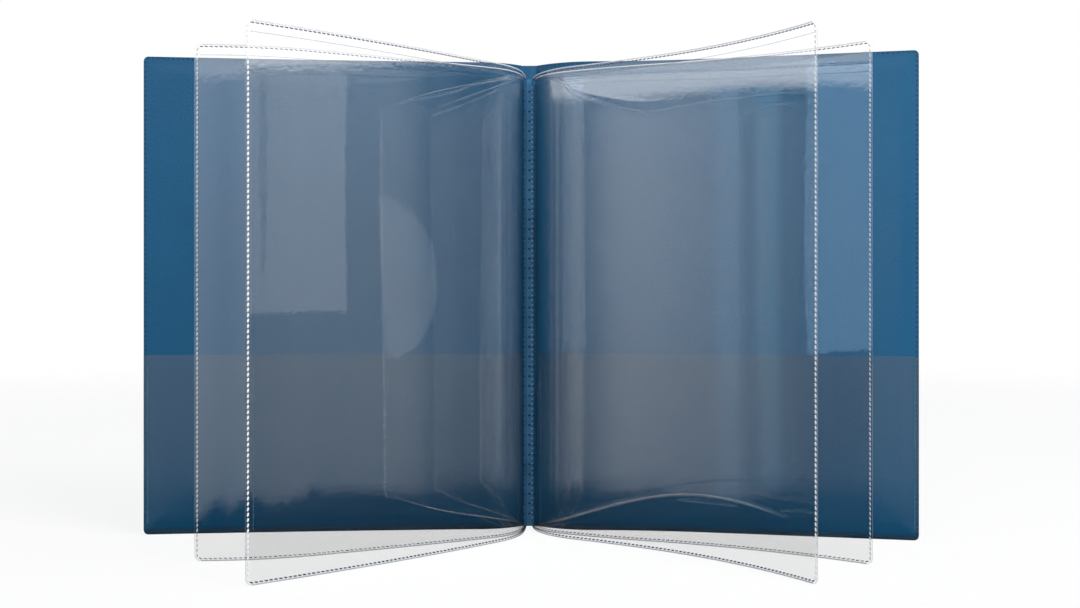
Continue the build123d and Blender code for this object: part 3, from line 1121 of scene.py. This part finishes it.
# %% Floor
FLOOR_RADIUS = 2.4
FLOOR_LIFT = 0.85
FLOOR_SINK = 0.3
DISC_SIDES = 96
FIBRE = 4
paper, tree = new_material("pale paper floor")
where = add(tree, "ShaderNodeTexCoord").outputs["Object"]
fibre = add(
    tree,
    "ShaderNodeTexNoise",
    {"Vector": where, "Scale": per_mm(FIBRE), "Detail": 4.0},
)
rough = add(
    tree,
    "ShaderNodeMapRange",
    {"Value": fibre.outputs["Fac"], "To Min": 0.85, "To Max": 1.0},
)
sheet_of_paper = add(
    tree,
    "ShaderNodeBsdfDiffuse",
    {"Color": linear("#F4F4F3"), "Roughness": rough.outputs["Result"]},
)
far_off = add(tree, "ShaderNodeVectorMath", {0: where}, operation="LENGTH").outputs["Value"]
fade = add(
    tree,
    "ShaderNodeMapRange",
    {"Value": far_off, "From Min": 0.3 * FLOOR_RADIUS, "From Max": 0.95 * FLOOR_RADIUS},
    interpolation_type="SMOOTHSTEP",
)
lift = add(
    tree,
    "ShaderNodeMath",
    {0: add(tree, "ShaderNodeLightPath").outputs["Is Camera Ray"], 1: FLOOR_LIFT},
    operation="MULTIPLY",
)
plain_white = add(tree, "ShaderNodeEmission", {"Color": (1, 1, 1, 1), "Strength": 1.0})
seen_paper = add(
    tree,
    "ShaderNodeMixShader",
    {0: lift.outputs[0], 1: sheet_of_paper.outputs[0], 2: plain_white.outputs[0]},
)
through = add(tree, "ShaderNodeBsdfTransparent")
ground = add(
    tree,
    "ShaderNodeMixShader",
    {0: fade.outputs["Result"], 1: seen_paper.outputs[0], 2: through.outputs[0]},
)
add(tree, "ShaderNodeOutputMaterial", {"Surface": ground.outputs[0]})

turns = np.linspace(0, 2 * pi, DISC_SIDES, endpoint=False)
disc = np.stack([np.cos(turns), np.sin(turns), 0 * turns], -1) * FLOOR_RADIUS
floor = add_object("floor", disc, [list(range(DISC_SIDES))], [paper])
floor.location.z = -FLOOR_SINK * MM
floor.visible_glossy = False
print("floor radius", FLOOR_RADIUS, "m")

# %% [markdown]
# ## The room in the film
# Polished film shows the room it was photographed in: a grey wall behind the camera, darker
# sides, a pale ceiling and a dark floor with things along its edge. White all round would
# turn the leaves milky, so a large ball with that room painted on it stands round the book,
# and only mirrors see it. The wall is a ramp over the compass, and the rest goes by height.
# The ceiling's edge is tilted a little, as a room seen aslant has it, and the edge of the
# floor is ragged with noise.

# %% The wall, the floor and the ceiling
ROOM_RADIUS = 6.0
FLOOR_SINE = -0.17
CEILING_SINE = 0.2018
CEILING_TILT = 0.0124
WALL = [
    (-180, "#7594AE"),
    (-176, "#6E8AA2"),
    (-172, "#383C42"),
    (-144, "#3F4348"),
    (-140, "#595D62"),
    (-134, "#B6B9BD"),
    (-130, "#CFD2D6"),
    (-118, "#CFD2D6"),
    (-106, "#BDC1C5"),
    (-96, "#AFB3B8"),
    (-86, "#BDC1C5"),
    (-60, "#C8CCD0"),
    (-41, "#C8CCD0"),
    (-40.3, "#7E8489"),
    (-37, "#767C82"),
    (-36.4, "#33383D"),
    (-6, "#33383D"),
    (0, "#22272B"),
    (168, "#22272B"),
    (169.5, "#7AA0B8"),
    (173, "#7AA0B8"),
    (177, "#56707F"),
]
EYE_LEVEL = 0.144
CLUTTER, CLUTTER_WIDTH = 0.06, 1500
FLOOR_BLUR, CEILING_BLUR = 0.006, 0.004
WALL_LEVEL = 0.83
WALL_FADE = 1.33
ROOM_LIGHT = 1.5
print("room stops:", len(WALL))

# %% The painted room
paint, tree = new_material("painted room")
where = add(tree, "ShaderNodeTexCoord").outputs["Object"]
direction = add(tree, "ShaderNodeVectorMath", {0: where}, operation="NORMALIZE").outputs[0]
parts = add(tree, "ShaderNodeSeparateXYZ", {0: direction})
compass = add(
    tree,
    "ShaderNodeMath",
    {0: parts.outputs["Y"], 1: parts.outputs["X"]},
    operation="ARCTAN2",
)
turn = add(
    tree,
    "ShaderNodeMath",
    {0: compass.outputs[0], 1: 0.5 / pi, 2: 0.5},
    operation="MULTIPLY_ADD",
)
ramp = add(tree, "ShaderNodeValToRGB", {0: turn.outputs[0]})
stops = ramp.color_ramp.elements
while len(stops) < len(WALL):
    stops.new(0.5)
for stop, (degrees, code) in zip(stops, WALL):
    stop.position = degrees / 360 + 0.5
    stop.color = linear(code)
clutter = add(
    tree,
    "ShaderNodeTexNoise",
    {"Vector": direction, "Scale": ROOM_RADIUS * per_mm(CLUTTER_WIDTH), "Detail": 2.0},
)
ragged = add(
    tree,
    "ShaderNodeMath",
    {0: clutter.outputs["Fac"], 1: CLUTTER, 2: parts.outputs["Z"]},
    operation="MULTIPLY_ADD",
)
floor_level = FLOOR_SINE + CLUTTER / 2
above_floor = add(
    tree,
    "ShaderNodeMapRange",
    {
        "Value": ragged.outputs[0],
        "From Min": floor_level - FLOOR_BLUR,
        "From Max": floor_level + FLOOR_BLUR,
    },
)
above_cornice = add(
    tree,
    "ShaderNodeMath",
    {0: parts.outputs["X"], 1: -CEILING_TILT, 2: parts.outputs["Z"]},
    operation="MULTIPLY_ADD",
)
in_ceiling = add(
    tree,
    "ShaderNodeMapRange",
    {
        "Value": above_cornice.outputs[0],
        "From Min": CEILING_SINE - CEILING_BLUR,
        "From Max": CEILING_SINE + CEILING_BLUR,
    },
)
level = add(
    tree,
    "ShaderNodeMath",
    {0: parts.outputs["Z"], 1: WALL_FADE, 2: WALL_LEVEL},
    operation="MULTIPLY_ADD",
)
wall = add(
    tree,
    "ShaderNodeVectorMath",
    {0: ramp.outputs["Color"], "Scale": level.outputs[0]},
    operation="SCALE",
)
lower = add(
    tree,
    "ShaderNodeMix",
    {
        "Factor": above_floor.outputs["Result"],
        "A": linear("#0C1013"),
        "B": wall.outputs[0],
    },
    data_type="RGBA",
)
room = add(
    tree,
    "ShaderNodeMix",
    {
        "Factor": in_ceiling.outputs["Result"],
        "A": lower.outputs["Result"],
        "B": linear("#FBFCFD"),
    },
    data_type="RGBA",
)
glow = add(
    tree,
    "ShaderNodeEmission",
    {"Color": room.outputs["Result"], "Strength": ROOM_LIGHT},
)
add(tree, "ShaderNodeOutputMaterial", {"Surface": glow.outputs[0]})
paint.cycles.emission_sampling = "NONE"
print("painted:", paint.name)

# %% The ball that carries the room


def for_mirrors_only(piece):
    for kind in ("camera", "diffuse", "transmission", "shadow"):
        setattr(piece, f"visible_{kind}", False)


ball = bmesh.new()
bmesh.ops.create_icosphere(ball, subdivisions=4, radius=ROOM_RADIUS)
mesh = bpy.data.meshes.new("mirrored_room")
ball.to_mesh(mesh)
ball.free()
mesh.materials.append(paint)
mirrored_room = bpy.data.objects.new("mirrored_room", mesh)
bpy.context.collection.objects.link(mirrored_room)
mirrored_room.location.z = EYE_LEVEL
for_mirrors_only(mirrored_room)
print("ball radius", ROOM_RADIUS, "m")

# %% [markdown]
# ## A pane with a round side
# One thing in the room has a curved outline, which a ramp over the compass can't have. It is
# a flat half oval that adds light and hides nothing, and it stands where the bowed outer leaf
# on the left mirrors it.

# %% The pane with a round side
PANE_MIDDLE = (1.024, -1.085, 0.1965)
PANE_WAY = (0.71, 0.71)
PANE_WIDTH, PANE_HALF = 0.142, 0.1455
PANE_LIGHT = 0.5
lit, tree = new_material("pale pane")
glow = add(tree, "ShaderNodeEmission", {"Color": linear("#E4EAF0"), "Strength": PANE_LIGHT})
through = add(tree, "ShaderNodeBsdfTransparent")
both = add(tree, "ShaderNodeAddShader", {0: glow.outputs[0], 1: through.outputs[0]})
add(tree, "ShaderNodeOutputMaterial", {"Surface": both.outputs[0]})
lit.cycles.emission_sampling = "NONE"
arc = np.linspace(-pi / 2, pi / 2, 33)
reach = PANE_WIDTH * np.cos(arc)
outline = np.stack([reach * PANE_WAY[0], reach * PANE_WAY[1], PANE_HALF * np.sin(arc)], -1)
round_pane = add_object("round_pane", outline + PANE_MIDDLE, [list(range(len(arc)))], [lit])
for_mirrors_only(round_pane)
print("pane:", PANE_WIDTH, "x", 2 * PANE_HALF, "m")

# %% [markdown]
# ## Lamps
# A soft lamp above the camera and one overhead light the whole book, and one behind it lights
# the outside of the covers. The other three are only there to be mirrored: a pane on the right
# in the left inner leaf, a bluish window on the left in the right outer leaf, and a slim lamp
# in the satin of the right cover. A photographer keeps such lamps off the rest with flags, and
# light linking does the same here.

# %% The lamps


def softbox(name, place, target, width, height, radiance):
    """A rectangular lamp that faces a point and looks as bright as its radiance."""
    data = bpy.data.lights.new(name, "AREA")
    data.shape = "RECTANGLE"
    data.size, data.size_y = width, height
    data.energy = radiance * pi * width * height
    lamp = bpy.data.objects.new(name, data)
    lamp.location = place
    aim = Vector(target) - Vector(place)
    lamp.rotation_euler = aim.to_track_quat("-Z", "Y").to_euler()
    bpy.context.collection.objects.link(lamp)
    return lamp


def only_on(lamp, *names):
    """The lamp lights these pieces alone, as if flags kept it off the rest."""
    lit = bpy.data.collections.new(f"lit_by_{lamp.name}")
    for name in names:
        lit.objects.link(bpy.data.objects[name])
    lamp.light_linking.receiver_collection = lit


softbox("front_lamp", (-0.3, -2.0, 1.7), (0, 0, 0.15), 1.2, 0.8, 2.2)
softbox("overhead_lamp", (0.8, -0.8, 1.1), (0, -0.03, 0.15), 0.8, 0.8, 6.6)
pane = softbox("right_pane", (1.261, -0.729, 0.336), (-0.118, -0.15, 0.336), 0.385, 0.43, 0.42)
only_on(pane, "left_inner_leaf_back_sheet", "left_inner_leaf_front_sheet")
window = softbox("left_window", (-1.146, -0.808, 0.31), (0.178, -0.11, 0.31), 0.24, 0.5, 0.9)
window.data.color = linear("#B4DCFF")[:3]
only_on(window, "right_outer_leaf_back_sheet", "right_outer_leaf_front_sheet")
satin = softbox("satin_lamp", (-0.22, -1.5, 0.3), (0, 0, 0.2), 0.1, 0.35, 9.0)
only_on(satin, "right_lining_sheet")
back = softbox("back_lamp", (0.6, 1.8, 1.3), (0, 0, 0.15), 1.2, 0.8, 3.5)
back_pieces = "skin_sheet", "cover_outer_stitches"
only_on(back, *(f"{side}_{piece}" for side in ("left", "right") for piece in back_pieces))

# %% [markdown]
# ## Camera
# The camera looks level at about the middle of the book's height, because the covers' upright
# edges are parallel in the picture. With its distance and its lens, a pixel is 0.65 mm wide at
# the spine. Light passes many films on its way, so many transparent bounces are let through,
# and a mirror may show one other mirror.

# %% Camera
IMAGE_WIDTH = 1080
FOCAL_PIXELS = 1220
EYE = (6.9, -792.0, 143.9)
view = bpy.data.cameras.new("camera")
view.sensor_width = 36
view.lens = FOCAL_PIXELS / IMAGE_WIDTH * view.sensor_width
view.clip_start = 0.01
camera = bpy.data.objects.new("camera", view)
camera.location = Vector(EYE) * MM
camera.rotation_euler = (radians(90), 0, 0)
bpy.context.collection.objects.link(camera)
bpy.context.scene.camera = camera
bpy.context.scene.view_settings.view_transform = "Standard"
cycles = bpy.context.scene.cycles
cycles.transparent_max_bounces = 48
cycles.max_bounces, cycles.diffuse_bounces, cycles.glossy_bounces = 6, 2, 2
field = 2 * atan(IMAGE_WIDTH / 2 / FOCAL_PIXELS)
print(f"lens {view.lens:.1f} mm, {field * 180 / pi:.0f} degrees wide")
